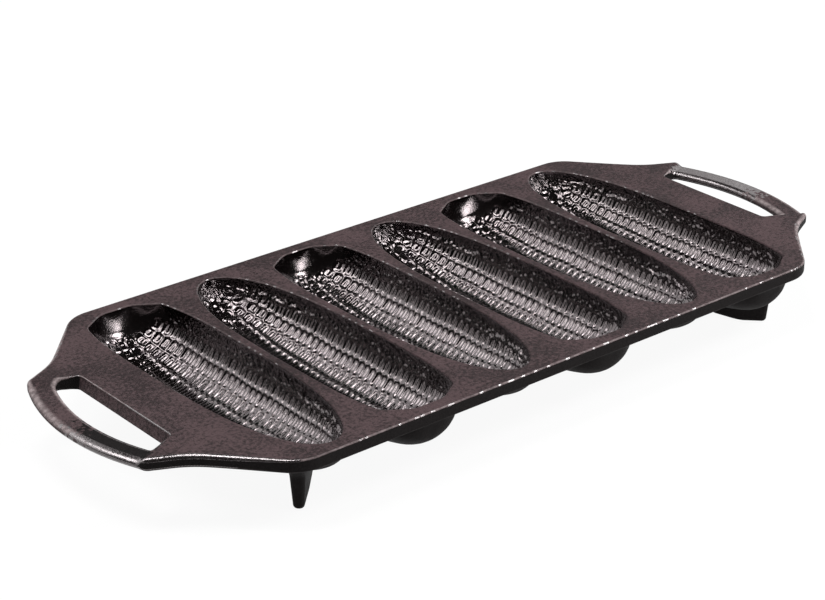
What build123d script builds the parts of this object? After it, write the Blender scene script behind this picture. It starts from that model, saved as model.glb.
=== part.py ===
from build123d import *
import os
from math import atan2, cos, radians, sin, sqrt, tan

# Corn stick pan in cast iron, lengths in mm.
# The origin is the middle of the plane that the four feet stand on.
# X runs along the pan through both handles, Y along the corn moulds, Z up.

# Corn moulds
mould_count = 6
mould_radius = 21.1
mould_gap = 3.3
widest_offset = 18.2
stalk_taper_spare = 12.6
tip_taper_power = 3.2
stalk_taper_power = 3.2
tip_depth_power = 2.8
stalk_depth_power = 2.2
stalk_end_half_width = 6.9
stalk_corner_run = 10.4
stalk_corner_fall = 7.0
stalk_face_angle = 22
kernel_rows = 8
kernel_row_angle = 18
kernel_row_depth = 0.75
tip_stations = 6
tip_last_angle = 86
stalk_station_shares = (0.3, 0.55, 0.75, 0.9)
side_wall = 1.5
floor_wall = 3.1
end_wall = 3.7

# Plate and its outline
pan_height = 28.5
plate_width = 154.4
plate_thickness = 5.4
tip_margin = 5.9
stalk_margin = 6.1
corner_margin = 17.45
corner_radius = 16.4
neck_run = 27.6
neck_fall = 29.8
neck_radius = 35.0
shoulder_run = 14.4
shoulder_fall = 7.1
shoulder_radius = 3.4
grip_bulge = 8.6
plate_edge_radius = 0.8

# Finger slot and grip bar of a handle
slot_edge_setback = 17.7
slot_edge_margin = 9.7
slot_end_setback = 8.3
slot_end_margin = 6.4
slot_corner_radius = 2.4
grip_width = 10.2
grip_end_setback = 1.8
grip_margin = 2.5
grip_outer_margin = 9.8
grip_drop = 1.4
grip_edge_radius = 1.8

# Feet, each a fin along the diagonal of its corner of the plate
foot_side_shift = 4.6
foot_setback = 4.4
foot_flare_run = 6.4
foot_flare_drop = 4.6
foot_outer_run = 4.2
foot_outer_drop = 8.8
foot_outer_lean = 1.4
foot_pad_length = 10.6
foot_pad_corner_radius = 1.7
foot_heel_run = 13.3
foot_heel_height = 3.8
foot_inner_run = 7.0
foot_inner_height = 12.6
foot_root_thickness = 7.0
foot_pad_thickness = 4.2

# One spare length that carries every cutting shape past the surface it cuts
overrun = 20.0

# Places that follow from the sizes above
deck_top = pan_height
deck_underside = pan_height - plate_thickness
mould_pitch = 2 * mould_radius + mould_gap
mould_tip_reach = plate_width / 2 - tip_margin
mould_stalk_reach = plate_width / 2 - stalk_margin
stalk_taper_length = mould_stalk_reach - widest_offset + stalk_taper_spare
end_mould_reach = mould_pitch * (mould_count - 1) / 2
corner_reach = end_mould_reach + corner_margin
neck_reach = corner_reach + neck_run
neck_half_width = plate_width / 2 - neck_fall
shoulder_reach = neck_reach + shoulder_run
shoulder_half_width = neck_half_width - shoulder_fall
grip_reach = shoulder_reach + grip_bulge
slot_edge_reach = shoulder_reach - slot_edge_setback
slot_edge_half_length = shoulder_half_width - slot_edge_margin
slot_end_reach = shoulder_reach - slot_end_setback
slot_end_half_length = shoulder_half_width - slot_end_margin
slot_reach = grip_reach - grip_width
grip_end_reach = shoulder_reach - grip_end_setback
grip_half_length = shoulder_half_width - grip_margin
grip_outer_half_length = shoulder_half_width - grip_outer_margin
foot_axis_offset = (corner_reach - plate_width / 2) * sqrt(0.5) + foot_side_shift
foot_root_reach = (corner_reach + plate_width / 2) * sqrt(0.5) - foot_setback
foot_flare_reach = foot_root_reach - foot_flare_run
foot_outer_reach = foot_flare_reach - foot_outer_run
foot_pad_inner_reach = foot_outer_reach - foot_pad_length
foot_heel_reach = foot_pad_inner_reach - foot_heel_run
foot_inner_reach = foot_heel_reach - foot_inner_run


def rounded_corner(face, x, y, radius):
    vertex = face.vertices().sort_by_distance((x, y, 0))[0]
    return fillet([vertex], radius)


def plate_outline():
    half_width = plate_width / 2
    far_side = Polyline(
        (-shoulder_reach, shoulder_half_width),
        (-neck_reach, neck_half_width),
        (-corner_reach, half_width),
        (corner_reach, half_width),
        (neck_reach, neck_half_width),
        (shoulder_reach, shoulder_half_width),
    )
    near_side = Polyline(
        (shoulder_reach, -shoulder_half_width),
        (neck_reach, -neck_half_width),
        (corner_reach, -half_width),
        (-corner_reach, -half_width),
        (-neck_reach, -neck_half_width),
        (-shoulder_reach, -shoulder_half_width),
    )
    grips = []
    for side in (1, -1):
        grips.append(
            ThreePointArc(
                (side * shoulder_reach, side * shoulder_half_width),
                (side * grip_reach, 0),
                (side * shoulder_reach, -side * shoulder_half_width),
            )
        )
    outline = make_face([*far_side.edges(), grips[0], *near_side.edges(), grips[1]])
    corners = (
        (corner_reach, half_width, corner_radius),
        (neck_reach, neck_half_width, neck_radius),
        (shoulder_reach, shoulder_half_width, shoulder_radius),
    )
    for x, y, radius in corners:
        for side in (1, -1):
            for end in (1, -1):
                outline = rounded_corner(outline, side * x, end * y, radius)
    return outline


def slot_outline():
    sides = Polyline(
        (slot_end_reach, -slot_end_half_length),
        (slot_edge_reach, -slot_edge_half_length),
        (slot_edge_reach, slot_edge_half_length),
        (slot_end_reach, slot_end_half_length),
    )
    outer_arc = ThreePointArc(
        (slot_end_reach, slot_end_half_length),
        (slot_reach, 0),
        (slot_end_reach, -slot_end_half_length),
    )
    outline = make_face([*sides.edges(), outer_arc])
    for end in (1, -1):
        outline = rounded_corner(outline, slot_edge_reach, end * slot_edge_half_length, slot_corner_radius)
        outline = rounded_corner(outline, slot_end_reach, end * slot_end_half_length, slot_corner_radius)
    return outline


def whole_plate():
    plate = extrude(Pos(0, 0, deck_underside) * plate_outline(), plate_thickness)
    faces = plate.faces().sort_by(Axis.Z)
    return fillet(faces[-1].edges() + faces[0].edges(), plate_edge_radius)


# A corn mould is built round the pan's middle with its stalk end towards +Y.


def taper(distance, length, power):
    return sqrt(1 - (distance / length) ** power)


def mould_stations(growth):
    """Gives the place, half width and depth of each cross section from the tip to the stalk end."""
    tip_length = widest_offset + mould_tip_reach + growth
    stations = []
    for step in range(tip_stations, 0, -1):
        distance = tip_length * sin(radians(tip_last_angle * step / tip_stations))
        half_width = mould_radius * taper(distance, tip_length, tip_taper_power)
        depth = mould_radius * taper(distance, tip_length, tip_depth_power)
        stations.append((widest_offset - distance, half_width, depth))
    stations.append((widest_offset, mould_radius, mould_radius))
    stalk_length = stalk_taper_length + growth
    for share in stalk_station_shares:
        distance = stalk_length * share
        half_width = mould_radius * taper(distance, stalk_length, stalk_taper_power)
        depth = mould_radius * taper(distance, stalk_length, stalk_depth_power)
        stations.append((widest_offset + distance, half_width, depth))
    return stations


def row_point(half_width, depth, angle):
    return (half_width * sin(radians(angle)), -depth * cos(radians(angle)))


def kernel_row_section(half_width, depth):
    relief = kernel_row_depth * half_width / mould_radius
    edge_angle = kernel_row_angle * kernel_rows / 2
    edges = []
    for row in range(kernel_rows):
        start = row * kernel_row_angle - edge_angle
        edges.append(
            ThreePointArc(
                row_point(half_width, depth, start),
                row_point(half_width + relief, depth + relief, start + kernel_row_angle / 2),
                row_point(half_width, depth, start + kernel_row_angle),
            )
        )
    rim = Polyline(
        row_point(half_width, depth, edge_angle),
        (half_width, 0),
        (half_width, overrun),
        (-half_width, overrun),
        (-half_width, 0),
        row_point(half_width, depth, -edge_angle),
    )
    return make_face([*edges, *rim.edges()])


def stalk_end_prism(growth):
    half_width = stalk_end_half_width + growth * tan(atan2(stalk_corner_fall, stalk_corner_run) / 2)
    spread = (mould_radius + overrun) / stalk_corner_run
    side_run = stalk_corner_run * spread
    side_fall = stalk_corner_fall * spread
    end = mould_stalk_reach + growth
    outline = make_face(
        Polyline(
            (half_width, end),
            (half_width + side_run, end - side_fall),
            (half_width + side_run, -end - overrun),
            (-half_width - side_run, -end - overrun),
            (-half_width - side_run, end - side_fall),
            (-half_width, end),
            close=True,
        ).edges()
    )
    lower = extrude(Pos(0, 0, deck_top) * outline, -pan_height, taper=stalk_face_angle)
    upper = extrude(Pos(0, 0, deck_top) * outline, overrun)
    return lower + upper


def section_plane(y):
    return Plane(origin=(0, y, deck_top), x_dir=(1, 0, 0), z_dir=(0, -1, 0))


def ear_cavity():
    sections = []
    for y, half_width, depth in mould_stations(0):
        sections.append(section_plane(y) * kernel_row_section(half_width, depth))
    return loft(sections) & stalk_end_prism(0)


def ear_cup(cavity):
    sections = []
    for y, half_width, depth in mould_stations(end_wall):
        sections.append(section_plane(y) * Ellipse(half_width + side_wall, depth + floor_wall))
    shell = loft(sections) & stalk_end_prism(end_wall)
    above = Pos(0, 0, deck_underside) * Box(
        plate_width, plate_width + overrun, pan_height, align=(Align.CENTER, Align.CENTER, Align.MIN)
    )
    return shell - above - cavity, shell


def mould_places():
    places = []
    for index in range(mould_count):
        x = index * mould_pitch - end_mould_reach
        turn = 180 * (index % 2)
        places.append(Pos(x, 0, 0) * Rot(0, 0, turn))
    return places


def grip_side(side):
    reach = grip_reach + overrun
    block = Box(
        reach - slot_edge_reach,
        plate_width + overrun,
        pan_height + overrun,
        align=(Align.MIN, Align.CENTER, Align.CENTER),
    )
    return Rot(0, 0, 0 if side > 0 else 180) * Pos(slot_edge_reach, 0, pan_height / 2) * block


def grip_window():
    ends = []
    for side in (1, -1):
        ends.append(
            ThreePointArc(
                (slot_end_reach, side * slot_end_half_length),
                (grip_end_reach, side * grip_half_length),
                (grip_reach + grip_edge_radius, side * grip_outer_half_length),
            )
        )
    outer = Line(ends[0] @ 1, ends[1] @ 1)
    inner = Line(ends[1] @ 0, ends[0] @ 0)
    outline = make_face([ends[0], outer, ends[1], inner])
    return extrude(Pos(0, 0, -overrun) * outline, pan_height + 2 * overrun)


def grip_bar():
    outer_arc = ThreePointArc(
        (shoulder_reach, shoulder_half_width),
        (grip_reach, 0),
        (shoulder_reach, -shoulder_half_width),
    )
    inner_arc = ThreePointArc(
        (slot_end_reach, -slot_end_half_length),
        (slot_reach, 0),
        (slot_end_reach, slot_end_half_length),
    )
    ends = []
    for side in (1, -1):
        ends += Polyline(
            (slot_end_reach, side * slot_end_half_length),
            (slot_end_reach, side * shoulder_half_width),
            (shoulder_reach, side * shoulder_half_width),
        ).edges()
    outline = make_face([outer_arc, inner_arc, *ends])
    bar = extrude(Pos(0, 0, deck_underside) * outline, plate_thickness - grip_drop)
    arcs = bar.edges().filter_by(GeomType.CIRCLE)
    return fillet(arcs, grip_edge_radius)


def handle(plate, side):
    turn = Rot(0, 0, 0 if side > 0 else 180)
    slot = extrude(Pos(0, 0, -overrun) * slot_outline(), pan_height + 2 * overrun)
    shoulders = (turn * plate & grip_side(1)) - slot - grip_window()
    loop = shoulders + grip_bar()
    return turn * loop


def foot(cup_shell, mirror_x, mirror_y):
    root = deck_underside
    profile = make_face(
        [
            Line((foot_inner_reach, root), (foot_inner_reach, foot_inner_height)),
            Line((foot_inner_reach, foot_inner_height), (foot_heel_reach, foot_heel_height)),
            Line((foot_heel_reach, foot_heel_height), (foot_pad_inner_reach, 0)),
            Line((foot_pad_inner_reach, 0), (foot_outer_reach, 0)),
            Line((foot_outer_reach, 0), (foot_outer_reach + foot_outer_lean, root - foot_outer_drop)),
            ThreePointArc(
                (foot_outer_reach + foot_outer_lean, root - foot_outer_drop),
                (foot_flare_reach, root - foot_flare_drop),
                (foot_root_reach, root),
            ),
            Line((foot_root_reach, root), (foot_inner_reach, root)),
        ]
    )
    profile = rounded_corner(profile, foot_outer_reach, 0, foot_pad_corner_radius)
    upright = Plane(origin=(0, 0, 0), x_dir=(1, 0, 0), z_dir=(0, -1, 0))
    fin = extrude(upright * profile, foot_root_thickness / 2, both=True)
    draft = make_face(
        Polyline(
            (-foot_pad_thickness / 2, 0),
            (foot_pad_thickness / 2, 0),
            (foot_root_thickness / 2, root),
            (-foot_root_thickness / 2, root),
            close=True,
        ).edges()
    )
    across = Plane(origin=(0, 0, 0), x_dir=(0, 1, 0), z_dir=(1, 0, 0))
    fin = fin & extrude(across * draft, foot_root_reach + overrun)
    # The fin lies along the corner's diagonal, moved sideways off the pan's middle.
    fin = Rot(0, 0, 45) * Pos(0, -foot_axis_offset, 0) * fin
    if mirror_x:
        fin = mirror(fin, Plane.YZ)
    if mirror_y:
        fin = mirror(fin, Plane.XZ)
    return (fin - cup_shell).solids().sort_by(SortBy.VOLUME)[-1]


def main():
    os.makedirs("parts", exist_ok=True)
    plate = whole_plate()
    cavity = ear_cavity()
    cup, cup_shell = ear_cup(cavity)
    places = mould_places()
    deck = plate - grip_side(1) - grip_side(-1)
    for place in places:
        deck = deck - place * cavity
    nodes = {"deck_plate": deck}
    for number, place in enumerate(places, start=1):
        nodes["corn_mould_" + str(number)] = place * cup
    nodes["handle_left"] = handle(plate, -1)
    nodes["handle_right"] = handle(plate, 1)
    first_shell = places[0] * cup_shell
    last_shell = places[-1] * cup_shell
    nodes["foot_left_front"] = foot(first_shell, True, True)
    nodes["foot_right_front"] = foot(last_shell, False, True)
    nodes["foot_left_back"] = foot(first_shell, True, False)
    nodes["foot_right_back"] = foot(last_shell, False, False)
    for name, solid in nodes.items():
        solid.label = name
        export_step(solid, "parts/" + name + ".step")


main()
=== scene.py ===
import math

import bpy
import numpy as np
from mathutils import Matrix, Vector
from mathutils.geometry import delaunay_2d_cdt


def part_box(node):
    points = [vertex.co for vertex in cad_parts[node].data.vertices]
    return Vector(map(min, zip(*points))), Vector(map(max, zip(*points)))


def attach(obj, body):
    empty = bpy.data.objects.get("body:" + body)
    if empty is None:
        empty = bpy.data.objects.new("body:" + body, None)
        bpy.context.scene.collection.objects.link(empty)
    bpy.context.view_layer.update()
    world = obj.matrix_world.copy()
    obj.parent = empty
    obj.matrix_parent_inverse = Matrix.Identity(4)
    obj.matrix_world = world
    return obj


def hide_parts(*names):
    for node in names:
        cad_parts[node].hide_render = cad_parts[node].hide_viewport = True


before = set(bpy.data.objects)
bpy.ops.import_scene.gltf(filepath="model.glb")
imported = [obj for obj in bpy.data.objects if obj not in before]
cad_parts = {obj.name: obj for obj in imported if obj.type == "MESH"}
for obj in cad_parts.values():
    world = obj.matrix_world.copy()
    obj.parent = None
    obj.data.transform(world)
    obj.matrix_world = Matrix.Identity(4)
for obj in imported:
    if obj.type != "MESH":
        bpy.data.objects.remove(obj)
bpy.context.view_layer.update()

# Lengths are in millimetres and become metres when a mesh is made. X runs through both handles
# and Y along the corn moulds. Heights are measured from the floor, but from the deck's top in
# the functions that shape an ear of corn and its kernels, where v runs towards the stalk end.
MM = 0.001
deck_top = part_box("deck_plate")[1].z / MM
deck_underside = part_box("deck_plate")[0].z / MM
plate_half_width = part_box("deck_plate")[1].y / MM
plate_thickness = deck_top - deck_underside

# Stands for any distance past those that matter
well_away = 9.0

# Plate outline
corner_reach = 131.2
corner_radius = 16.4
neck_reach = 158.8
neck_half_width = 47.4
neck_radius = 35.0
shoulder_reach = 173.2
shoulder_half_width = 40.3
shoulder_radius = 4.6
grip_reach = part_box("handle_right")[1].x / MM
grip_arc_steps = 28

# Finger slot, and the grip bar that lies lower than the deck
slot_edge_reach = 155.5
slot_edge_half_length = 30.6
slot_end_reach = 164.9
slot_end_half_length = 33.9
slot_reach = 171.6
slot_corner_radius = 2.4
slot_draft = 1.2
grip_drop = 1.4
grip_step = ((164.9, 33.9), (171.4, 37.8), (183.6, 30.5))
grip_step_width = 3.2
slot_floor_creep = 0.2

# Rounded edges: radii, and how much they grow at the handles, each in plan and in height
rim_radius = 0.55
rim_angles = (0, 22, 45, 68, 90)
edge_angles = (0, 12, 26, 40, 54, 68, 80, 90)
edge_radius = 0.75
handle_growth = (1.15, 1.05)
bar_growth = (1.1, 0.12)
slot_edge_radius = 0.45
slot_bar_growth = (1.75, 1.35)

# Corn moulds
mould_count = 6
mould_seed = 100
mould_pitch = 45.5
mould_radius = 21.1
tip_reach = 71.3
stalk_reach = 71.1
widest_offset = 18.2
stalk_taper_length = 65.5
tip_narrowing = 3.2
tip_shallowing = 2.8
stalk_narrowing = 3.2
stalk_shallowing = 2.2
stalk_end_half_width = 6.9
stalk_corner_run = 10.4
stalk_corner_fall = 7.0
stalk_lean = 12.0
stalk_softness = 3.0
inside_roundness = 3.0
outside_roundness = 0.8
side_wall = 1.5
floor_wall = 3.1
end_wall = 3.7
corner_blend = 0.45
corner_blend_growth = 0.3
cup_flare = 1.6
cup_flare_height = 2.4
cup_end_growth = 1.5
joint_overlap = 0.4
opening_shares = (0.985, 0.995, 1)

# Feet, which stand on the diagonals under the plate's corners
foot_axis_offset = 42.8
foot_root_reach = 143.0
foot_flare_run = 6.4
foot_flare_drop = 4.6
foot_outer_run = 4.2
foot_outer_drop = 8.8
foot_outer_lean = 1.4
foot_pad_length = 10.6
foot_heel_run = 13.3
foot_heel_height = 3.8
foot_inner_run = 7.0
foot_inner_height = 12.6
foot_root_thickness = 7.0
foot_pad_thickness = 4.2
foot_edge_radius = 1.5
foot_deck_flare = 1.4
foot_deck_flare_height = 2.4
foot_corner_radius = 1.9
foot_corner_share = 0.85
foot_corner_steps = 7
foot_level_steps = 26
foot_overlap = 0.2
foot_bite = 0.7
foot_trim_step = 0.2

# Rays that find an ear's wall: they start on its axis between two turning points
tip_turn = -46.0
stalk_turn = 44.0
cap_run = 34
ray_limit = 60.0
ray_halvings = 34
lining_spacing = 0.40
lining_columns = 161
cup_spacing = 1.2
cup_columns = 61

# Kernels
row_angle = 18
row_centres = (-63, -45, -27, -9, 9, 27, 45, 63)
kernel_pitch = 3.65
kernel_depth = 0.6
kernel_flatness = 3.4
kernel_thickness = 4.0
kernel_dent = 0.34
dent_half_shares = (0.45, 0.55)
kernel_fade = (0.6, 3.4)
kernel_roughness = 0.008
ridge_rise = (0.84, 0.98)
ridge_fall = (1.08, 1.3)
worn_depths = (4, 6.5)
band_roughness = 0.13
band_fade = (1.5, 0.5)
band_end_fade = 6
plain_band = 6.5
plain_stalk_run = 9.0
plain_tip_run = 20.0
kernel_end = 67.5
tip_kernel_spacing = 5.2
tip_kernel_crowding = 0.82
tip_kernel_start_share = 0.45
tip_kernel_rim_gap = 1.2
tip_kernel_size_share = 0.56
tip_kernel_size_spread = 0.02
tip_kernel_depth_share = 1.1
row_squareness = 3.4
tip_squareness = 2.3
row_overlap = 1.03
kernel_overlap = 1.02
narrowest_row = 3.4
narrowest_tip_row = 4.0
row_sway = 0.22
row_sway_rate = 0.21
row_sway_spread = 0.06
row_end_slant = 0.06
row_end_spread = 0.8
kernel_length_spread = 0.035
kernel_depth_spread = 0.10
kernel_tilt_spread = 0.05
stalk_kernel_growth = 0.45
stalk_kernel_count = 1.2
tip_kernel_growth = 0.5
tip_growth_shares = (0.42, 0.85)

# Finishes of the plate and of a mould, by their place in the piece's list of materials
matt_kind, lining_kind, gloss_kind, band_kind, painted_shade_kind = range(5)
mould_lining_kind, mould_outside_kind, mould_band_kind = range(3)

# Where the gloss lies on the plate
gloss_seed = 7
gloss_cell = 1.3
edge_gloss_share = 0.2
left_hold_span = (-8, 14)
right_hold_span = (-18, 0)
rounded_wear = 0.02
lower_edge_height = 1.2

# Camera as solved from the photograph: degrees, metres, and millimetres for lens and sensor
camera_azimuth = -39.35
camera_elevation = 25.13
camera_roll = -0.28
camera_place = (-0.54733, -0.64562, 0.42105)
camera_lens = 99.86
camera_sensor = 36

# Floor and room
floor_reach = 6.0
floor_white_share = 0.93
room_strength = 0.02

# How finely the plate is meshed
plate_step = 1.1
slot_step = 0.8
handle_grid = 0.9
seam_steps = 120
arc_turn = 0.12
mesh_clearance = 0.45


def smooth_step(value, low, high):
    share = np.clip((value - low) / (high - low), 0, 1)
    return share * share * (3 - 2 * share)


def soft_max(a, b, blend):
    share = np.clip(0.5 + 0.5 * (a - b) / blend, 0, 1)
    return b + (a - b) * share + blend * share * (1 - share)


def unit(vector):
    return vector / np.linalg.norm(vector)


# Shape of an ear of corn


def ear_field(x, v, z, side, floor, end, roundness):
    """Is below zero inside the half ear, whose walls are grown by side, floor and end."""
    along = v - widest_offset
    to_tip = np.clip(-along / (widest_offset + tip_reach + end), 0, 0.9999)
    to_stalk = np.clip(along / (stalk_taper_length + end), 0, 0.9999)
    narrow = np.where(along < 0, 1 - to_tip**tip_narrowing, 1 - to_stalk**stalk_narrowing)
    shallow = np.where(along < 0, 1 - to_tip**tip_shallowing, 1 - to_stalk**stalk_shallowing)
    half_width = mould_radius * np.sqrt(narrow) + side
    depth = mould_radius * np.sqrt(shallow) + floor
    body = (np.hypot(x / half_width, z / depth) - 1) * mould_radius
    body = np.maximum(body, -v - tip_reach - end)
    sink = np.minimum(np.abs(z) / (mould_radius + floor + 1), 0.999)
    lean = stalk_lean * (1 - np.sqrt(1 - sink**2))
    end_face = v - stalk_reach - end + lean
    slope = math.hypot(stalk_corner_fall, stalk_corner_run)
    across = stalk_corner_fall / slope
    ahead = stalk_corner_run / slope
    beside = np.hypot(x, stalk_softness) - 0.2 * stalk_softness
    corner = across * (beside - stalk_end_half_width) + ahead * (v - stalk_reach) - end + lean
    blend = roundness * (corner_blend + corner_blend_growth * np.abs(z))
    return soft_max(body, soft_max(end_face, corner, blend), blend)


def ear_stations(spacing):
    """Gives the place on the axis and the forward lean of each fan of rays, from tip to stalk end."""
    cap_steps = round(cap_run / spacing)
    caps = np.linspace(0, 90, cap_steps + 1)[1:-1]
    tube = np.linspace(tip_turn, stalk_turn, round((stalk_turn - tip_turn) / spacing) + 1)
    places = np.concatenate([np.full(len(caps), tip_turn), tube, np.full(len(caps), stalk_turn)])
    leans = np.concatenate([-caps[::-1], np.zeros(len(tube)), caps])
    return places, np.radians(leans)


def ear_surface(spacing, columns, field, start_height):
    """Casts rays from the ear's axis to its wall. Gives the points reached and the rays' directions."""
    places, leans = ear_stations(spacing)
    turn = np.radians(np.linspace(-90, 90, columns))
    level = np.cos(leans)[:, None]
    forward = np.repeat(np.sin(leans)[:, None], columns, 1)
    direction = np.stack([level * np.sin(turn), forward, -level * np.cos(turn)], -1)
    origin = np.zeros_like(direction)
    origin[..., 1] = places[:, None]
    origin[..., 2] = start_height
    near = np.zeros(direction.shape[:2])
    far = np.full(direction.shape[:2], ray_limit)
    for _ in range(ray_halvings):
        middle = (near + far) / 2
        p = origin + direction * middle[..., None]
        inside = field(p[..., 0], p[..., 1], p[..., 2]) < 0
        near = np.where(inside, middle, near)
        far = np.where(inside, far, middle)
    return origin + direction * near[..., None], direction


def ear_ends(growth, height):
    return np.array([0, -tip_reach - growth, height]), np.array([0, stalk_reach + growth, height])


# Kernels pressed into the wall of a mould


def row_kernels(points, turn, mould):
    """Walks each row of kernels from its stalk end towards the tip.

    A kernel is its centre, two directions, half its length and width, depth, squareness and tilt.
    """
    kernels = []
    for centre_angle in row_centres:
        column = int(np.argmin(np.abs(turn - centre_angle)))
        half_row = int(round(row_angle / 2 / (turn[1] - turn[0])))
        left = max(column - half_row, 0)
        right = min(column + half_row, len(turn) - 1)
        line = points[:, column]
        run = np.concatenate([[0], np.cumsum(np.linalg.norm(np.diff(line, axis=0), axis=1))])
        widths = np.linalg.norm(points[:, right] - points[:, left], axis=1)
        last = kernel_end - row_end_slant * abs(centre_angle) + mould.normal(0, row_end_spread)
        reach = np.interp(last, line[:, 1], run)
        kernels_from_stalk = 0
        while True:
            scale = 1 + stalk_kernel_growth * math.exp(-kernels_from_stalk / stalk_kernel_count)
            place = np.interp(reach, run, line[:, 1])
            starts, ends = tip_growth_shares
            scale += tip_kernel_growth * smooth_step(-place, starts * tip_reach, ends * tip_reach)
            length = kernel_pitch * scale * (1 + mould.normal(0, kernel_length_spread))
            reach -= length / 2
            station = int(np.searchsorted(run, reach))
            past_tip = widths[station] < narrowest_tip_row and line[station, 1] < 0
            if station < 3 or past_tip:
                break
            if widths[station] < narrowest_row:
                reach -= length / 2
                continue
            along = unit(line[station + 1] - line[station - 1])
            across = unit(points[station, right] - points[station, left])
            sway = row_sway * math.sin(reach * row_sway_rate + centre_angle)
            sway += mould.normal(0, row_sway_spread)
            centre = points[station, column] + across * sway
            depth = kernel_depth * (1 + mould.normal(0, kernel_depth_spread))
            tilt = mould.normal(0, kernel_tilt_spread, 2)
            half_width = widths[station] * row_overlap / 2
            half_length = length * kernel_overlap / 2
            sizes = (half_length, half_width, depth, row_squareness)
            kernels.append((centre, along, across, *sizes, tilt))
            reach -= length / 2
            kernels_from_stalk += 1
    return kernels


def tip_kernels(points, kernels, mould):
    """Scatters rounder kernels over the tip, where the rows are too narrow to go on."""
    middle_line = points[:, points.shape[1] // 2, 1]
    stations = np.flatnonzero(middle_line < -tip_reach * tip_kernel_start_share)
    spots = points[stations][:, ::3].reshape(-1, 3)
    spots = spots[mould.permutation(len(spots))]
    spots = spots[spots[:, 2] < -tip_kernel_rim_gap]
    in_rows = len(kernels)
    taken = np.array([k[0] for k in kernels])
    for spacing in (tip_kernel_spacing, tip_kernel_spacing * tip_kernel_crowding):
        for spot in spots:
            if np.min(np.linalg.norm(taken - spot, axis=1)) > spacing:
                taken = np.vstack([taken, spot])
    for spot in taken[in_rows:]:
        nearest = np.sort(np.linalg.norm(taken - spot, axis=1))[1:4].mean()
        size = nearest * (tip_kernel_size_share + mould.normal(0, tip_kernel_size_spread))
        tilt = mould.normal(0, kernel_tilt_spread, 2)
        outward = spot - np.array([0, tip_turn, 0])
        along = unit(np.cross(outward, [1, 0, 0]))
        across = unit(np.cross(along, outward))
        sizes = (size, size, kernel_depth * tip_kernel_depth_share, tip_squareness)
        kernels.append((spot, along, across, *sizes, tilt))
    return kernels


def press_kernels(points, kernels):
    """Gives how far each point of the wall is pushed outwards, and how near it is to a ridge."""
    pushed = np.zeros(points.shape[:2])
    ridge = np.full(points.shape[:2], 2.0)
    for centre, along, across, half_length, half_width, depth, squareness, tilt in kernels:
        near = np.abs(points[..., 1] - centre[1]).min(1) < half_length * 1.6 + 1.0
        rows = np.flatnonzero(near)
        if len(rows) == 0:
            continue
        first = rows[0]
        last = rows[-1] + 1
        offset = points[first:last] - centre
        ahead = offset @ along / half_length
        beside = offset @ across / half_width
        a = np.abs(ahead)
        b = np.abs(beside)
        elsewhere = np.abs(offset @ np.cross(along, across)) > kernel_thickness
        reach = (a**squareness + b**squareness) ** (1 / squareness) + elsewhere * well_away
        share = np.clip(1 - reach**kernel_flatness, 0, 1)
        dent = kernel_dent * np.clip(1 - a / dent_half_shares[0], 0, 1)
        dent *= np.exp(-((beside / dent_half_shares[1]) ** 4))
        bowl = share * (depth + tilt[0] * ahead + tilt[1] * beside - dent)
        pushed[first:last] = np.maximum(pushed[first:last], bowl)
        ridge[first:last] = np.minimum(ridge[first:last], reach)
    return pushed, ridge


# Meshes


def grid_faces(grid, flip):
    quads = np.stack([grid[:-1, :-1], grid[:-1, 1:], grid[1:, 1:], grid[1:, :-1]], -1).reshape(-1, 4)
    return quads[:, ::-1] if flip else quads


def fan_faces(line, tip, flip):
    faces = np.stack([line[:-1], line[1:], np.full(len(line) - 1, tip)], -1)
    return faces[:, ::-1] if flip else faces


def loop_faces(lower, upper, flip):
    quads = np.stack([lower, np.roll(lower, -1), np.roll(upper, -1), upper], -1)
    return quads[:, ::-1] if flip else quads


def triangles_of(faces):
    parts = []
    for group in faces:
        if group.shape[1] == 4:
            parts.append(group[:, [0, 1, 2]])
            parts.append(group[:, [0, 2, 3]])
        else:
            parts.append(group)
    return np.vstack(parts)


def vertex_normals(vertices, triangles):
    a, b, c = (vertices[triangles[:, k]] for k in range(3))
    face = np.cross(b - a, c - a)
    normals = np.zeros_like(vertices)
    for k in range(3):
        np.add.at(normals, triangles[:, k], face)
    length = np.linalg.norm(normals, axis=1, keepdims=True)
    return normals / np.maximum(length, 1e-12)


def new_object(name, data):
    made = bpy.data.objects.new(name, data)
    bpy.context.scene.collection.objects.link(made)
    return made


def make_piece(name, surface, triangles, kinds, materials):
    """Makes a mesh piece from the triangles given. Each triangle's kind says which material it gets."""
    vertices, normals, wear_and_highlight = surface
    used, triangles = np.unique(triangles, return_inverse=True)
    triangles = triangles.reshape(-1, 3)
    mesh = bpy.data.meshes.new(name + "_piece")
    mesh.vertices.add(len(used))
    mesh.vertices.foreach_set("co", (vertices[used] * MM).astype(np.float32).ravel())
    mesh.loops.add(triangles.size)
    mesh.loops.foreach_set("vertex_index", triangles.astype(np.int32).ravel())
    mesh.polygons.add(len(triangles))
    mesh.polygons.foreach_set("loop_start", np.arange(0, triangles.size, 3, dtype=np.int32))
    mesh.polygons.foreach_set("use_smooth", np.ones(len(triangles), bool))
    mesh.polygons.foreach_set("material_index", kinds.astype(np.int32))
    mesh.update(calc_edges=True)
    mesh.normals_split_custom_set_from_vertices(normals[used].astype(np.float32).tolist())
    attribute = mesh.attributes.new("wear_and_highlight", "FLOAT", "POINT")
    attribute.data.foreach_set("value", wear_and_highlight[used].astype(np.float32))
    for material in materials:
        mesh.materials.append(material)
    piece = new_object(name + "_piece", mesh)
    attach(piece, "root")
    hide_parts(name)


def place_mould(points, index):
    """Moves points of an ear to where a mould lies. Every second mould is turned end for end."""
    moved = points.copy()
    if index % 2:
        moved[..., 0] *= -1
        moved[..., 1] *= -1
    moved[..., 0] += (index - (mould_count - 1) / 2) * mould_pitch
    moved[..., 2] += deck_top
    return moved


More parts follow.
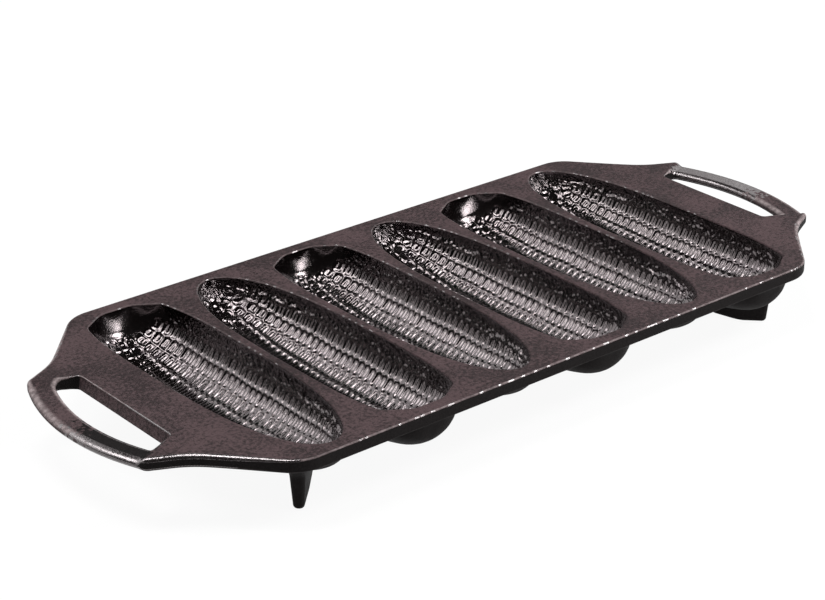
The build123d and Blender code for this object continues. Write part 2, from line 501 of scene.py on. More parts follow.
class MeshParts:
    """Collects vertices, faces and wear of one piece while it is being built."""

    def __init__(self):
        self.vertices = []
        self.wear_and_highlight = []
        self.faces = []
        self.count = 0

    def add(self, points, wear_and_highlight):
        """Adds points with their wear and gives their indices."""
        points = np.asarray(points, float).reshape(-1, 3)
        self.vertices.append(points)
        self.wear_and_highlight.append(np.broadcast_to(np.asarray(wear_and_highlight, float).reshape(-1), (len(points),)))
        self.count += len(points)
        return np.arange(self.count - len(points), self.count)

    def join(self, rings, flip):
        for lower, upper in zip(rings[:-1], rings[1:]):
            self.faces.append(loop_faces(lower, upper, flip))

    def finish(self):
        """Gives the surface, which is its vertices, normals and wear, and the triangles."""
        vertices = np.vstack(self.vertices)
        triangles = triangles_of(self.faces)
        normals = vertex_normals(vertices, triangles)
        return (vertices, normals, np.concatenate(self.wear_and_highlight)), triangles


# Linings and cups of the moulds


def soft_noise(shape, mould):
    """Random heights of a sand-cast surface, smoothed over the next points and scaled to about one."""
    heights = mould.normal(0, 1, shape)
    for axis in (0, 1):
        heights = (heights + np.roll(heights, 1, axis) + np.roll(heights, -1, axis)) / 3
    return heights / heights.std()


def ear_inside(x, v, z):
    return ear_field(x, v, z, 0, 0, 0, inside_roundness)


def lining_relief(points, mould):
    """Gives the sand-cast relief of a wall: strong in the plain band, faint between the kernels."""
    below = -points[..., 2]
    along = points[..., 1]
    band_end = stalk_reach - plain_stalk_run
    in_band = smooth_step(-below, -plain_band - band_fade[0], -plain_band + band_fade[1])
    in_band *= 1 - smooth_step(along, band_end - band_end_fade, band_end)
    height = kernel_roughness + (band_roughness - kernel_roughness) * in_band
    rough = soft_noise(points.shape[:2], mould) * height
    rough *= 1 - 0.8 * smooth_step(along, stalk_reach - 8, stalk_reach - 3)
    return rough * smooth_step(below, 0.3, 1.5)


def lining(index):
    """Gives the kernelled wall of one mould in place: points, wear and both ends."""
    mould = np.random.default_rng(mould_seed + index)
    points, direction = ear_surface(lining_spacing, lining_columns, ear_inside, 0.0)
    turn = np.linspace(-90, 90, lining_columns)
    kernels = row_kernels(points, turn, mould)
    kernels = tip_kernels(points, kernels, mould)
    pushed, ridge = press_kernels(points, kernels)
    below = -points[..., 2]
    relief = pushed * smooth_step(below, *kernel_fade) + lining_relief(points, mould)
    points = points + direction * relief[..., None]
    points[..., 2] -= rim_radius * (1 - below / mould_radius)
    worn = smooth_step(ridge, *ridge_rise) * (1 - smooth_step(ridge, *ridge_fall))
    worn *= smooth_step(below, *worn_depths)
    tip, stalk = ear_ends(0, -rim_radius)
    return place_mould(points, index), worn, place_mould(tip, index), place_mould(stalk, index)


def add_ear(parts, points, worn, tip, stalk, outside=False):
    """Adds the wall of an ear and closes its ends, to be seen from inside or from outside."""
    grid = parts.add(points, worn).reshape(points.shape[:2])
    parts.faces.append(grid_faces(grid, outside))
    parts.faces.append(fan_faces(grid[0], parts.add(tip, 0)[0], not outside))
    parts.faces.append(fan_faces(grid[-1], parts.add(stalk, 0)[0], outside))


def ear_outside(x, v, z):
    return ear_field(x, v, z, side_wall, floor_wall, end_wall, outside_roundness)


def cup_outside(index):
    """Gives the smooth underside of one mould, flaring into the deck where it meets it."""

    def field(x, v, z):
        flare = cup_flare * np.clip(1 - (-plate_thickness - z) / cup_flare_height, 0, 1) ** 2
        return ear_outside(x, v, z) - flare

    points, _ = ear_surface(cup_spacing, cup_columns, field, -plate_thickness)
    points[:, 0, 2] += joint_overlap
    points[:, -1, 2] += joint_overlap
    return place_mould(points, index)


# Outlines of the plate and its slots


def plan_normals(loop):
    """Outward normals in plan of a closed loop that runs anticlockwise."""
    ahead = np.roll(loop, -1, 0) - loop
    ahead = ahead[:, :2] / np.maximum(np.linalg.norm(ahead[:, :2], axis=1, keepdims=True), 1e-9)
    tangent = ahead + np.roll(ahead, 1, 0)
    tangent /= np.maximum(np.linalg.norm(tangent, axis=1, keepdims=True), 1e-9)
    return np.stack([tangent[:, 1], -tangent[:, 0]], -1)


def anticlockwise(loop):
    x, y = loop[:, :2].T
    area = np.sum(x * np.roll(y, -1) - np.roll(x, -1) * y)
    return loop if area > 0 else loop[::-1]


def rounded_loop(corners, step):
    """A closed line through corners (x, y, radius), with arcs at the corners and short runs between."""
    points = []
    corners = [(Vector((x, y)), radius) for x, y, radius in corners]
    count = len(corners)
    for i, (corner, radius) in enumerate(corners):
        before = (corners[i - 1][0] - corner).normalized()
        after = (corners[(i + 1) % count][0] - corner).normalized()
        if radius == 0:
            points.append(corner)
            continue
        angle = math.acos(max(-1, min(1, before.dot(after))))
        setback = radius / math.tan(angle / 2)
        centre = corner + (before + after).normalized() * (radius / math.sin(angle / 2))
        start = corner + before * setback - centre
        finish = corner + after * setback - centre
        sweep = math.atan2(start.x * finish.y - start.y * finish.x, start.dot(finish))
        arc_steps = max(3, math.ceil(abs(sweep) * radius / step), math.ceil(abs(sweep) / arc_turn))
        for k in range(arc_steps + 1):
            points.append(centre + Matrix.Rotation(sweep * k / arc_steps, 2) @ start)
    dense = []
    for i, p in enumerate(points):
        q = points[(i + 1) % len(points)]
        pieces = max(1, math.ceil((q - p).length / step))
        for k in range(pieces):
            dense.append(p.lerp(q, k / pieces))
    return anticlockwise(np.array(dense))


def arc_corners(reach, half_length, bulge_reach, side):
    """Corner points of an arc that bulges away from the pan's middle between two mirrored ends."""
    bulge = bulge_reach - reach
    radius = (half_length**2 + bulge**2) / (2 * bulge)
    sweep = math.asin(half_length / radius)
    corners = []
    for k in range(1, grip_arc_steps):
        a = sweep * (1 - 2 * k / grip_arc_steps)
        x = bulge_reach - radius + radius * math.cos(a)
        corners.append((side * x, side * radius * math.sin(a), 0))
    return corners


def plate_loop():
    quarter = (
        (corner_reach, plate_half_width, corner_radius),
        (neck_reach, neck_half_width, neck_radius),
        (shoulder_reach, shoulder_half_width, shoulder_radius),
    )
    corners = []
    for side in (1, -1):
        corners += [(side * x, side * y, radius) for x, y, radius in quarter]
        corners += arc_corners(shoulder_reach, shoulder_half_width, grip_reach, side)
        corners += [(side * x, -side * y, radius) for x, y, radius in quarter[::-1]]
    return rounded_loop(corners, plate_step)


def slot_loop(side):
    edge = side * slot_edge_reach
    end = side * slot_end_reach
    corners = [(edge, -side * slot_edge_half_length, slot_corner_radius)]
    corners.append((edge, side * slot_edge_half_length, slot_corner_radius))
    corners.append((end, side * slot_end_half_length, slot_corner_radius))
    corners += arc_corners(slot_end_reach, slot_end_half_length, slot_reach, side)
    corners.append((end, -side * slot_end_half_length, slot_corner_radius))
    return rounded_loop(corners, slot_step)


def drafted(slot):
    """The slot's outline at the underside, where the sand-cast wall by the deck creeps inwards."""
    past_edge = smooth_step(np.abs(slot[:, 0]), slot_edge_reach, slot_edge_reach + 4)
    creep = slot_floor_creep + slot_draft * (1 - past_edge)
    return slot - plan_normals(slot) * creep[:, None]


def step_circle():
    """Gives the centre and radius of the circle through the three points of the grip's step."""
    (ax, ay), (bx, by), (cx, cy) = grip_step
    d = 2 * (ax * (by - cy) + bx * (cy - ay) + cx * (ay - by))
    a2 = ax * ax + ay * ay
    b2 = bx * bx + by * by
    c2 = cx * cx + cy * cy
    x = (a2 * (by - cy) + b2 * (cy - ay) + c2 * (ay - by)) / d
    y = (a2 * (cx - bx) + b2 * (ax - cx) + c2 * (bx - ax)) / d
    return x, y, math.hypot(ax - x, ay - y)


def bar_share(x, y):
    """Is one on the grip bar, nought on the deck, and in between on the step that joins them."""
    cx, cy, radius = step_circle()
    ax = np.abs(x)
    ay = np.abs(y)
    inside = radius - np.hypot(ax - cx, ay - cy)
    in_bar = np.where(ay < cy, well_away, inside)
    in_bar = np.where(ax < slot_end_reach - 3, -well_away, in_bar)
    return smooth_step(in_bar, -grip_step_width / 2, grip_step_width / 2)


# Rounded edges and flats of the plate


def top_level(x, y):
    return deck_top - grip_drop * bar_share(x, y)


def underside_level(x, y):
    return np.full(len(x), deck_underside)


def handle_share(x):
    """Is nought along the moulds and one at the handles."""
    return smooth_step(np.abs(x), corner_reach - 4, neck_reach - 6)


def outer_rounding(x, y):
    """Radius of the plate's edge in plan and in height: crisp by the moulds, a bead at the handles."""
    handle = handle_share(x)
    bar = bar_share(x, y)
    flat = edge_radius + handle_growth[0] * handle + bar_growth[0] * bar
    tall = edge_radius + handle_growth[1] * handle + bar_growth[1] * bar
    return flat, tall


def slot_rounding(x, y):
    """Radius of a finger slot's edge in plan and in height, larger along the grip bar."""
    bar = smooth_step(np.abs(x), slot_edge_reach + 2, slot_end_reach + 1)
    return slot_edge_radius + slot_bar_growth[0] * bar, slot_edge_radius + slot_bar_growth[1] * bar


def rounded_rings(parts, loop, rounding, outward, top):
    """Adds the rings of a rounded edge, from wall to flat, and gives the indices of the end rings."""
    x, y = loop.T
    flat, tall = rounding(x, y)
    normals = plan_normals(loop)
    rings = []
    for angle in np.radians(edge_angles):
        shift = -outward * flat * (1 - math.cos(angle))
        px = x + normals[:, 0] * shift
        py = y + normals[:, 1] * shift
        level = top_level(px, py) if top else underside_level(px, py)
        sign = -1 if top else 1
        z = level + sign * tall * (1 - math.sin(angle))
        # The worn share peaks halfway round each rounded edge; on the plate it lightens the colour, as
        # worn metal and as a painted highlight
        wear_and_highlight = max(math.sin(2 * angle), 0) ** 1.5 * (0.55 + 0.45 * handle_share(x))
        rings.append(parts.add(np.column_stack([px, py, z]), wear_and_highlight))
    parts.join(rings, (outward < 0) != (not top))
    return rings[0], rings[-1]


def rim_rings(parts, loop):
    """Adds the small rounded edge of a mould's mouth and gives the indices of its last ring."""
    normals = plan_normals(loop)
    rings = []
    for angle in np.radians(rim_angles):
        shift = rim_radius * (1 - math.cos(angle))
        px = loop[:, 0] + normals[:, 0] * shift
        py = loop[:, 1] + normals[:, 1] * shift
        z = np.full(len(px), deck_top - rim_radius * (1 - math.sin(angle)))
        # The rims' light worn colour grows towards the back of the pan, where it is a painted highlight
        # on the rims as well as worn metal
        wear_and_highlight = 0.3 * max(math.sin(2 * angle), 0) * smooth_step(py, -20, 40)
        rings.append(parts.add(np.column_stack([px, py, z]), wear_and_highlight))
    parts.join(rings, True)
    return rings[-1]


def inside_loop(points, loop):
    """Tells which points lie inside a closed loop, by counting crossings."""
    px, py = points.T
    x, y = loop.T
    x2, y2 = np.roll(loop, -1, 0).T
    inside = np.zeros(len(px), bool)
    for i in range(len(x)):
        if y[i] == y2[i]:
            continue
        crosses = (y[i] > py) != (y2[i] > py)
        at = x[i] + (py - y[i]) * (x2[i] - x[i]) / (y2[i] - y[i])
        inside ^= crosses & (px < at)
    return inside


def in_flat(points, outlines):
    """Tells which points lie inside the first outline and outside all the others."""
    inside = inside_loop(points, outlines[0])
    for hole in outlines[1:]:
        inside &= ~inside_loop(points, hole)
    return inside


def distance_to(points, others):
    """Gives each point's distance in plan to the nearest of the others, some of them at a time."""
    distance = np.full(len(points), well_away)
    for some in np.array_split(others, 16):
        gap = np.hypot(points[:, None, 0] - some[:, 0], points[:, None, 1] - some[:, 1])
        distance = np.minimum(distance, gap.min(1))
    return distance


def loop_edges(loops):
    """Pairs up the neighbours on each loop, counting its points on from the loop before."""
    edges = []
    first = 0
    for loop in loops:
        count = len(loop)
        edges += [(first + k, first + (k + 1) % count) for k in range(count)]
        first += count
    return edges


def fill_flat(parts, loops, level, down, extra):
    """Fills the flat between an outer ring and the rings of its holes with triangles."""
    vertices = np.vstack(parts.vertices)
    outlines = [vertices[loop][:, :2] for loop in loops]
    boundary = np.vstack(outlines)
    extra = extra[in_flat(extra, outlines)]
    extra = extra[distance_to(extra, boundary) > mesh_clearance]
    heights = level(extra[:, 0], extra[:, 1])
    added = parts.add(np.column_stack([extra, heights]), 0)
    index = np.concatenate([*loops, added])
    points = [Vector(p) for p in np.vstack([boundary, extra])]
    found = delaunay_2d_cdt(points, loop_edges(loops), [], 0, 1e-7, True)
    place = np.array(found[0], float)
    triangles = np.array(found[2])
    source = np.array([origins[0] if origins else -1 for origins in found[3]])
    triangles = triangles[(source[triangles] >= 0).all(1)]
    middle = place[triangles].mean(1)
    triangles = index[source[triangles[in_flat(middle, outlines)]]]
    vertices = np.vstack(parts.vertices)
    a, b, c = (vertices[triangles[:, k]] for k in range(3))
    turn = (b[:, 0] - a[:, 0]) * (c[:, 1] - a[:, 1]) - (b[:, 1] - a[:, 1]) * (c[:, 0] - a[:, 0])
    wrong = (turn > 0) == down
    triangles[wrong] = triangles[wrong][:, ::-1]
    parts.faces.append(triangles)


def handle_points():
    """Extra points over both handles and their necks, close enough to carry the grip's step."""
    xs = np.arange(slot_edge_reach, grip_reach, handle_grid)[1:]
    ys = np.arange(-neck_half_width - 6, neck_half_width + 6, handle_grid)
    x, y = np.meshgrid(xs, ys)
    points = np.column_stack([x.ravel(), y.ravel()])
    return np.vstack([points, points * [-1, 1]])


def seam_points():
    """Points on the two lines where the handles join the deck, so the pieces part along them."""
    ys = np.linspace(-neck_half_width - 4, neck_half_width + 4, seam_steps)
    seam = np.column_stack([np.full(len(ys), slot_edge_reach), ys])
    return np.vstack([seam, seam * [-1, 1]])


# Finishes of the plate


def in_plain_band(points):
    """Tells which points of the moulds' walls lie in the grainy band without kernels under the rim."""
    index = np.round(points[:, 0] / mould_pitch + (mould_count - 1) / 2).astype(int)
    along = np.where(index % 2, -points[:, 1], points[:, 1])
    beside_ends = (along < stalk_reach - plain_stalk_run) & (along > plain_tip_run - tip_reach)
    return (points[:, 2] > deck_top - plain_band) & beside_ends


def cell_chance(points):
    """One random number between nought and one for every small square of the plate."""
    cells = np.round(points[:, :2] / gloss_cell).astype(int)
    cells, which = np.unique(cells, axis=0, return_inverse=True)
    return np.random.default_rng(gloss_seed).random(len(cells))[which.ravel()]


def glossy_share(x, y, rounded):
    """How much of the top is rubbed to a gloss: the handles where they are held, bits of the edges."""
    left_hold = smooth_step(-y, *left_hold_span)
    right_hold = smooth_step(y, *right_hold_span)
    hold = np.where(x < 0, left_hold, right_hold)
    on_bar = bar_share(x, y) * hold
    front_left_neck = (x < -corner_reach) & (y < 0)
    on_edge = np.where(front_left_neck, 1.0, edge_gloss_share) * rounded
    on_handle = (np.abs(x) > slot_end_reach) & rounded
    return np.where(on_handle, hold, np.maximum(on_bar, on_edge))


def plate_kinds(surface, triangles, in_lining):
    """Says which finish each triangle of the plate's surface gets."""
    vertices, normals, wear_and_highlight = surface
    middle = vertices[triangles].mean(1)
    x, y, z = middle.T
    rounded = wear_and_highlight[triangles].max(1) > rounded_wear
    glossy = cell_chance(middle) < glossy_share(x, y, rounded)
    kinds = np.where(glossy, gloss_kind, matt_kind)
    # On the left grip bar the rubbed flat gets the near-black cup finish, as painted shade where its
    # gloss would reflect the dark room
    kinds[glossy & ~rounded & (x < 0)] = painted_shade_kind
    # Upright sides and the underside of the plate are given the near-black cup finish as painted shade
    upright = np.abs(normals[triangles][..., 2]).max(1) < 0.3
    along_deck = np.abs(normals[triangles][..., 0]).min(1) > 0.8
    by_slot = (np.abs(x) < slot_edge_reach + 2) & (np.abs(y) < slot_edge_half_length)
    lower_edge = z < deck_underside + lower_edge_height
    kinds[(upright & ~(by_slot & along_deck)) | lower_edge] = painted_shade_kind
    lining_kinds = np.where(in_plain_band(middle), band_kind, lining_kind)
    return np.where(in_lining, lining_kinds, kinds)


# Pieces of the plate and the moulds


def edge_rings(parts, top_loop, low_loop, rounding, outward):
    """Adds a wall with rounded edges and gives its rings on the top and on the underside."""
    top_wall, top_flat = rounded_rings(parts, top_loop, rounding, outward, True)
    low_wall, low_flat = rounded_rings(parts, low_loop, rounding, outward, False)
    parts.faces.append(loop_faces(low_wall, top_wall, outward < 0))
    return top_flat, low_flat


def mouth_rings(parts, points, tip, stalk):
    """Adds the rounded mouth of a mould and gives its rings on the top and on the underside."""
    loop = anticlockwise(np.vstack([tip, points[:, -1], stalk, points[::-1, 0]]))
    top_flat = rim_rings(parts, loop)
    centre = loop.mean(0)
    opening = (centre + (loop - centre) * opening_shares)[::4]
    opening[:, 2] = deck_underside
    return top_flat, parts.add(opening, 0)


def plate_surface(linings):
    """Builds the deck with both handles, and then the linings, as one surface."""
    parts = MeshParts()
    outer = plate_loop()
    rings = [edge_rings(parts, outer, outer, outer_rounding, 1)]
    for side in (1, -1):
        slot = slot_loop(side)
        rings.append(edge_rings(parts, slot, drafted(slot), slot_rounding, -1))
    for points, worn, tip, stalk in linings:
        rings.append(mouth_rings(parts, points, tip, stalk))
    top_rings, low_rings = zip(*rings)
    top_points = np.vstack([handle_points(), seam_points()])
    fill_flat(parts, top_rings, top_level, False, top_points)
    fill_flat(parts, low_rings, underside_level, True, seam_points())
    plate_triangles = len(triangles_of(parts.faces))
    for lining_parts in linings:
        add_ear(parts, *lining_parts)
    surface, triangles = parts.finish()
    return surface, triangles, np.arange(len(triangles)) >= plate_triangles


def build_plate(linings, materials):
    """Parts the surface of the deck and its handles into three pieces, without what lies below them."""
    surface, triangles, in_lining = plate_surface(linings)
    kinds = plate_kinds(surface, triangles, in_lining)
    corners = surface[0][triangles]
    x, y, z = corners.mean(1).T
    in_plate = (z > deck_underside) | (np.abs(corners[..., 2] - deck_underside).max(1) < 1e-6)
    regions = (
        ("deck_plate", np.abs(x) <= slot_edge_reach),
        ("handle_right", x > slot_edge_reach),
        ("handle_left", x < -slot_edge_reach),
    )
    for name, in_region in regions:
        kept = in_region & in_plate
        make_piece(name, surface, triangles[kept], kinds[kept], materials)


def build_mould(index, lining_parts, materials):
    """Makes one mould below the deck: its kernelled wall, its smooth underside and the joint on top."""
    inside = MeshParts()
    add_ear(inside, *lining_parts)
    inner, inner_triangles = inside.finish()
    below = inner[0][inner_triangles].mean(1)[:, 2] <= deck_underside
    outside = MeshParts()
    tip, stalk = ear_ends(end_wall + cup_end_growth, -plate_thickness + joint_overlap)
    add_ear(outside, cup_outside(index), 0, place_mould(tip, index), place_mould(stalk, index), True)
    outer, outer_triangles = outside.finish()
    surface = [np.concatenate(both) for both in zip(inner, outer)]
    triangles = np.vstack([inner_triangles[below], outer_triangles + len(inner[0])])
    in_band = in_plain_band(surface[0][triangles].mean(1))
    kinds = np.where(in_band, mould_band_kind, mould_lining_kind)
    kinds[below.sum() :] = mould_outside_kind
    name = "corn_mould_" + str(index + 1)
    make_piece(name, surface, triangles, kinds, materials)


# Feet


def foot_ring(height):
    """One level cut through a foot: a rounded bar along the diagonal, smaller by the pad's edge."""
    outer = foot_root_reach - foot_flare_run - foot_outer_run
    pad_inner = outer - foot_pad_length
    heel = pad_inner - foot_heel_run
    lean_height = deck_underside - foot_outer_drop
    flare_height = deck_underside - foot_flare_drop
    flare_reach = foot_root_reach - foot_flare_run
    outer_levels = (0, lean_height, flare_height, deck_underside)
    outer_places = (outer, outer + foot_outer_lean, flare_reach, foot_root_reach)
    inner_levels = (0, foot_heel_height, foot_inner_height)
    inner_places = (pad_inner, heel, heel - foot_inner_run)
    far = np.interp(height, outer_levels, outer_places)
    near = np.interp(height, inner_levels, inner_places)
    thickness = np.interp(height, (0, deck_underside), (foot_pad_thickness, foot_root_thickness))
    rise = min(height / foot_edge_radius, 1)
    inset = foot_edge_radius * (1 - math.sqrt(1 - (1 - rise) ** 2))
    by_deck = max(0, 1 - (deck_underside - height) / foot_deck_flare_height)
    half = thickness / 2 + (foot_deck_flare * by_deck**2 - inset)
    far -= inset
    near += inset
    corner = min(foot_corner_radius, half * foot_corner_share)
    points = []
    for reach, side, start in ((far, 1, 0), (near, 1, 90), (near, -1, 180), (far, -1, 270)):
        middle = reach - corner if reach == far else reach + corner
        for angle in np.radians(start + np.linspace(0, 90, foot_corner_steps)):
            across = side * (half - corner) + corner * math.sin(angle)
            points.append((middle + corner * math.cos(angle), across, height))
    return np.array(points)


def trim_to_cup(ring, mirror_y):
    """Moves the inner end of a foot's level out to the wall of the end mould's cup."""
    far = ring[:, 0].max()
    for point in ring:
        places = np.arange(far, point[0], -foot_trim_step)
        across = point[1] - foot_axis_offset
        x = (places - across) * math.sqrt(0.5) - mould_pitch * (mould_count - 1) / 2
        v = (places + across) * math.sqrt(0.5) * mirror_y
        z = np.full(len(places), point[2] - deck_top)
        wall = ear_outside(x, v, z)
        reached = np.flatnonzero(wall < -foot_bite)
        if len(reached):
            point[0] = places[reached[0]]


def build_foot(name, mirror_x, mirror_y, material):
    levels = [foot_edge_radius * (1 - math.cos(math.radians(a))) for a in range(0, 91, 15)]
    foot_top = deck_underside + foot_overlap
    levels += list(np.linspace(foot_edge_radius, foot_top, foot_level_steps)[1:])
    parts = MeshParts()
    rings = []
    for height in levels:
        ring = foot_ring(height)
        trim_to_cup(ring, mirror_y if mirror_x < 0 else -mirror_y)
        reach = ring[:, 0].copy()
        across = ring[:, 1] - foot_axis_offset
        ring[:, 0] = (reach - across) * math.sqrt(0.5) * mirror_x
        ring[:, 1] = (reach + across) * math.sqrt(0.5) * mirror_y
        rings.append(parts.add(ring, 0))
    flip = mirror_x * mirror_y < 0
    parts.join(rings, flip)
    for ring, turned in ((rings[0], not flip), (rings[-1], flip)):
        fan = np.stack([np.full(len(ring) - 2, ring[0]), ring[1:-1], ring[2:]], -1)
        parts.faces.append(fan[:, ::-1] if turned else fan)
    surface, triangles = parts.finish()
    make_piece(name, surface, triangles, np.zeros(len(triangles)), [material])


# Materials


patch_fineness = 45
lump_fineness = 420
lump_height = 0.0003


def feed(tree, made, inputs):
    """Gives a node's inputs their numbers, their colours or the outputs of other nodes."""
    for name, value in inputs.items():
        socket = made.inputs[name]
        if isinstance(value, tuple):
            socket.default_value = (*value, 1)
        elif isinstance(value, (int, float)):
            socket.default_value = value
        else:
            tree.links.new(value, socket)


def node(tree, kind, inputs, **settings):
    made = tree.nodes.new(kind)
    for name, value in settings.items():
        setattr(made, name, value)
    feed(tree, made, inputs)
    return made


def noise(tree, coordinates, scale, roughness=0.55):
    inputs = {"Vector": coordinates, "Scale": scale, "Detail": 3, "Roughness": roughness}
    return node(tree, "ShaderNodeTexNoise", inputs).outputs["Fac"]


def remap(tree, value, low, high, new_low, new_high):
    inputs = {"Value": value, "From Min": low, "From Max": high, "To Min": new_low, "To Max": new_high}
    return node(tree, "ShaderNodeMapRange", inputs).outputs["Result"]


def mix_colour(tree, share, a, b):
    inputs = {"Factor": share, "A": a, "B": b}
    return node(tree, "ShaderNodeMix", inputs, data_type="RGBA").outputs["Result"]


def combine(tree, operation, a, b):
    return node(tree, "ShaderNodeMath", {0: a, 1: b}, operation=operation).outputs[0]


def bump(tree, height, strength, distance, **others):
    inputs = {"Height": height, "Strength": strength, "Distance": distance, **others}
    return node(tree, "ShaderNodeBump", inputs).outputs["Normal"]


def iron(name, colours, roughness, grain, lumps, refraction, tint):
    """Seasoned cast iron: patchy colour, sand-cast grain, softer lumps and worn places, whose light
    colour on the plate is also a painted highlight.

    The colours are those of dark and light patches and of worn places; on the plate the worn colour
    is also a painted highlight along the rounded edges. Roughness is the least, the most and what
    worn places add. Grain is its strength, its height in metres and its fineness.
    """
    dark, light, bare_and_highlight = colours
    smooth, coarse, worn_change = roughness
    grain_strength, grain_height, fineness = grain
    material = bpy.data.materials.new(name)
    material.use_nodes = True
    tree = material.node_tree
    shader = tree.nodes["Principled BSDF"]
    place = node(tree, "ShaderNodeTexCoord", {}).outputs["Object"]
    patches = noise(tree, place, patch_fineness)
    speckle = noise(tree, place, fineness * 0.7, 0.8)
    grains = noise(tree, place, fineness, 0.7)
    lump = noise(tree, place, lump_fineness)
    patch_part = combine(tree, "MULTIPLY", patches, 0.35)
    speckle_part = combine(tree, "MULTIPLY", speckle, 0.65)
    tone = combine(tree, "ADD", patch_part, speckle_part)
    colour = mix_colour(tree, remap(tree, tone, 0.44, 0.56, 0, 1), dark, light)
    wear_and_highlight = node(tree, "ShaderNodeAttribute", {}, attribute_name="wear_and_highlight").outputs["Fac"]
    patchy_wear_and_highlight = combine(tree, "MULTIPLY", wear_and_highlight, remap(tree, lump, 0.35, 0.65, 0.35, 1))
    # Worn places take the worn colour, which on the plate is also a painted highlight
    colour = mix_colour(tree, patchy_wear_and_highlight, colour, bare_and_highlight)
    mottle = combine(tree, "ADD", patches, combine(tree, "MULTIPLY", speckle, 0.5))
    rough = remap(tree, mottle, 0.6, 0.9, smooth, coarse)
    rough = combine(tree, "ADD", rough, combine(tree, "MULTIPLY", patchy_wear_and_highlight, worn_change))
    normal = bump(tree, lump, lumps, lump_height)
    normal = bump(tree, grains, grain_strength, grain_height, Normal=normal)
    feed(tree, shader, {"Base Color": colour, "Roughness": rough, "Normal": normal})
    feed(tree, shader, {"IOR": refraction, "Specular Tint": tint})
    return material


# The matt top of the plate and its handles, with rubbed edges whose light colour is worn metal and a
# painted highlight
plate_iron = iron(
    "plate_iron",
    colours=((0.0150, 0.0098, 0.0103), (0.0570, 0.0370, 0.0390), (0.30, 0.25, 0.25)),
    roughness=(0.58, 0.74, -0.2),
    grain=(1.0, 0.0003, 900),
    lumps=0.2,
    refraction=1.28,
    tint=(1, 0.85, 0.87),
)

# The glossy black seasoning on the kernels of a mould
mould_iron = iron(
    "mould_iron",
    colours=((0.0014, 0.0010, 0.0010), (0.0030, 0.0022, 0.0022), (0.002, 0.0015, 0.0015)),
    roughness=(0.07, 0.17, 0.10),
    grain=(0.3, 0.0002, 1500),
    lumps=0.1,
    refraction=1.95,
    tint=(1, 0.87, 0.89),
)

# The glossy, grainy band without kernels under the rim of a mould, darker and less reflective than the
# kernels' finish as painted shade for the dark band there
band_iron = iron(
    "band_iron",
    colours=((0.0008, 0.0006, 0.0006), (0.002, 0.0015, 0.0015), (0.002, 0.0015, 0.0015)),
    roughness=(0.06, 0.14, 0.1),
    grain=(0.3, 0.0002, 1000),
    lumps=0.1,
    refraction=1.8,
    tint=(1, 0.87, 0.89),
)

# The gloss that hands rub onto the handles and onto bits of the edges
edge_iron = iron(
    "edge_iron",
    colours=((0.006, 0.004, 0.0045), (0.018, 0.013, 0.0135), (0.012, 0.010, 0.010)),
    roughness=(0.24, 0.34, -0.06),
    grain=(0.6, 0.0002, 700),
    lumps=0.5,
    refraction=2.4,
    tint=(1, 0.92, 0.93),
)

# The dull black of the cups and the feet; on the plate's upright sides and underside it is painted
# shade, and on the left grip bar's rubbed flat too
cup_iron = iron(
    "cup_iron",
    colours=((0.003, 0.0025, 0.0025), (0.007, 0.006, 0.006), (0.03, 0.025, 0.025)),
    roughness=(0.62, 0.78, -0.1),
    grain=(0.7, 0.00025, 1500),
    lumps=0.3,
    refraction=1.2,
    tint=(1, 0.9, 0.9),
)


def plain_floor():
    """A pale floor that shows shadows faintly and is white where nothing falls on it."""
    material = bpy.data.materials.new("pale_floor")
    material.use_nodes = True
    tree = material.node_tree
    shader = tree.nodes["Principled BSDF"]
    feed(tree, shader, {"Base Color": (0.9, 0.9, 0.9), "Roughness": 0.9})
    white = node(tree, "ShaderNodeEmission", {})
    path = node(tree, "ShaderNodeLightPath", {})
    seen = combine(tree, "MAXIMUM", path.outputs["Is Camera Ray"], path.outputs["Is Glossy Ray"])
    seen = combine(tree, "MAXIMUM", seen, path.outputs["Is Transmission Ray"])
    share = combine(tree, "MULTIPLY", seen, floor_white_share)
    mix = node(tree, "ShaderNodeMixShader", {0: share, 1: shader.outputs[0], 2: white.outputs[0]})
    feed(tree, tree.nodes["Material Output"], {"Surface": mix.outputs[0]})
    mesh = bpy.data.meshes.new("floor")
    corners = [(x * floor_reach, y * floor_reach, 0) for x, y in ((-1, -1), (1, -1), (1, 1), (-1, 1))]
    mesh.from_pydata(corners, [], [(0, 1, 2, 3)])
    mesh.materials.append(material)
    floor = new_object("floor", mesh)


# Light and camera


def area_light(name, place, width, height, power, target=(0, 0, 0)):
    """A soft white box turned to the pan's middle or to another target, in metres and watts."""
    data = bpy.data.lights.new(name, "AREA")
    data.shape = "RECTANGLE"
    data.size = width
    data.size_y = height
    data.energy = power
    light = new_object(name, data)
    light.location = place
    light.rotation_euler = (Vector(target) - Vector(place)).to_track_quat("-Z", "Y").to_euler()


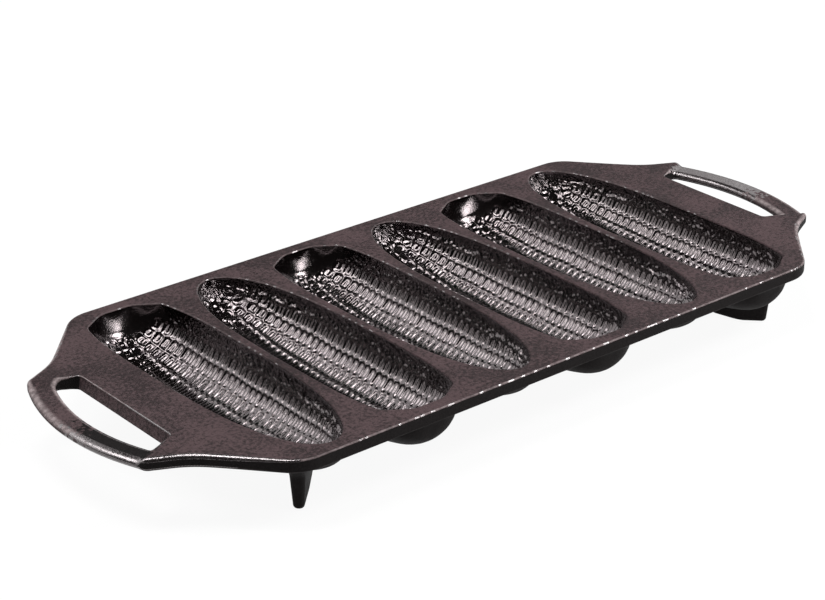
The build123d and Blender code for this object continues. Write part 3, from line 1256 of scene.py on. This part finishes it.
def studio():
    """Seven soft boxes where the photograph's highlights need them, in a nearly dark room."""
    world = bpy.data.worlds.new("studio")
    bpy.context.scene.world = world
    world.use_nodes = True
    background = world.node_tree.nodes["Background"]
    background.inputs["Color"].default_value = (1, 0.97, 0.96, 1)
    background.inputs["Strength"].default_value = room_strength
    area_light("back_box", (-0.50, 1.12, 0.66), 1.90, 0.85, 8.2)
    area_light("back_right_box", (0.80, 1.00, 0.62), 0.60, 0.55, 1.0)
    area_light("left_high_box", (-0.58, 0.40, 0.84), 0.50, 0.34, 4.6, (-0.17, 0, 0))
    area_light("front_box", (0.43, -0.72, 0.25), 0.36, 0.22, 3.2)
    area_light("front_high_box", (0.75, -0.52, 0.88), 0.45, 0.45, 14.0)
    area_light("right_box", (1.16, 0.43, 0.55), 0.8, 0.6, 2.2)
    area_light("top_box", (-0.24, 0.08, 1.10), 0.30, 0.40, 6.5)


def photo_camera():
    azimuth = math.radians(camera_azimuth)
    elevation = math.radians(camera_elevation)
    roll = math.radians(camera_roll)
    level = math.cos(elevation)
    back = Vector((math.sin(azimuth) * level, -math.cos(azimuth) * level, math.sin(elevation)))
    right = Vector((math.cos(azimuth), math.sin(azimuth), 0))
    up = back.cross(right)
    turned_right = right * math.cos(roll) + up * math.sin(roll)
    turned_up = up * math.cos(roll) - right * math.sin(roll)
    data = bpy.data.cameras.new("camera")
    data.sensor_width = camera_sensor
    data.lens = camera_lens
    camera = new_object("camera", data)
    turn = Matrix((turned_right, turned_up, back)).transposed().to_4x4()
    camera.matrix_world = Matrix.Translation(camera_place) @ turn
    bpy.context.scene.camera = camera


# The pan's pieces and the studio

linings = [lining(index) for index in range(mould_count)]
build_plate(linings, [plate_iron, mould_iron, edge_iron, band_iron, cup_iron])
for index, lining_parts in enumerate(linings):
    build_mould(index, lining_parts, [mould_iron, cup_iron, band_iron])
for name, mirror_x, mirror_y in (
    ("foot_left_front", -1, -1),
    ("foot_right_front", 1, -1),
    ("foot_left_back", -1, 1),
    ("foot_right_back", 1, 1),
):
    build_foot(name, mirror_x, mirror_y, cup_iron)

bpy.context.scene.view_settings.view_transform = "Standard"
plain_floor()
studio()
photo_camera()
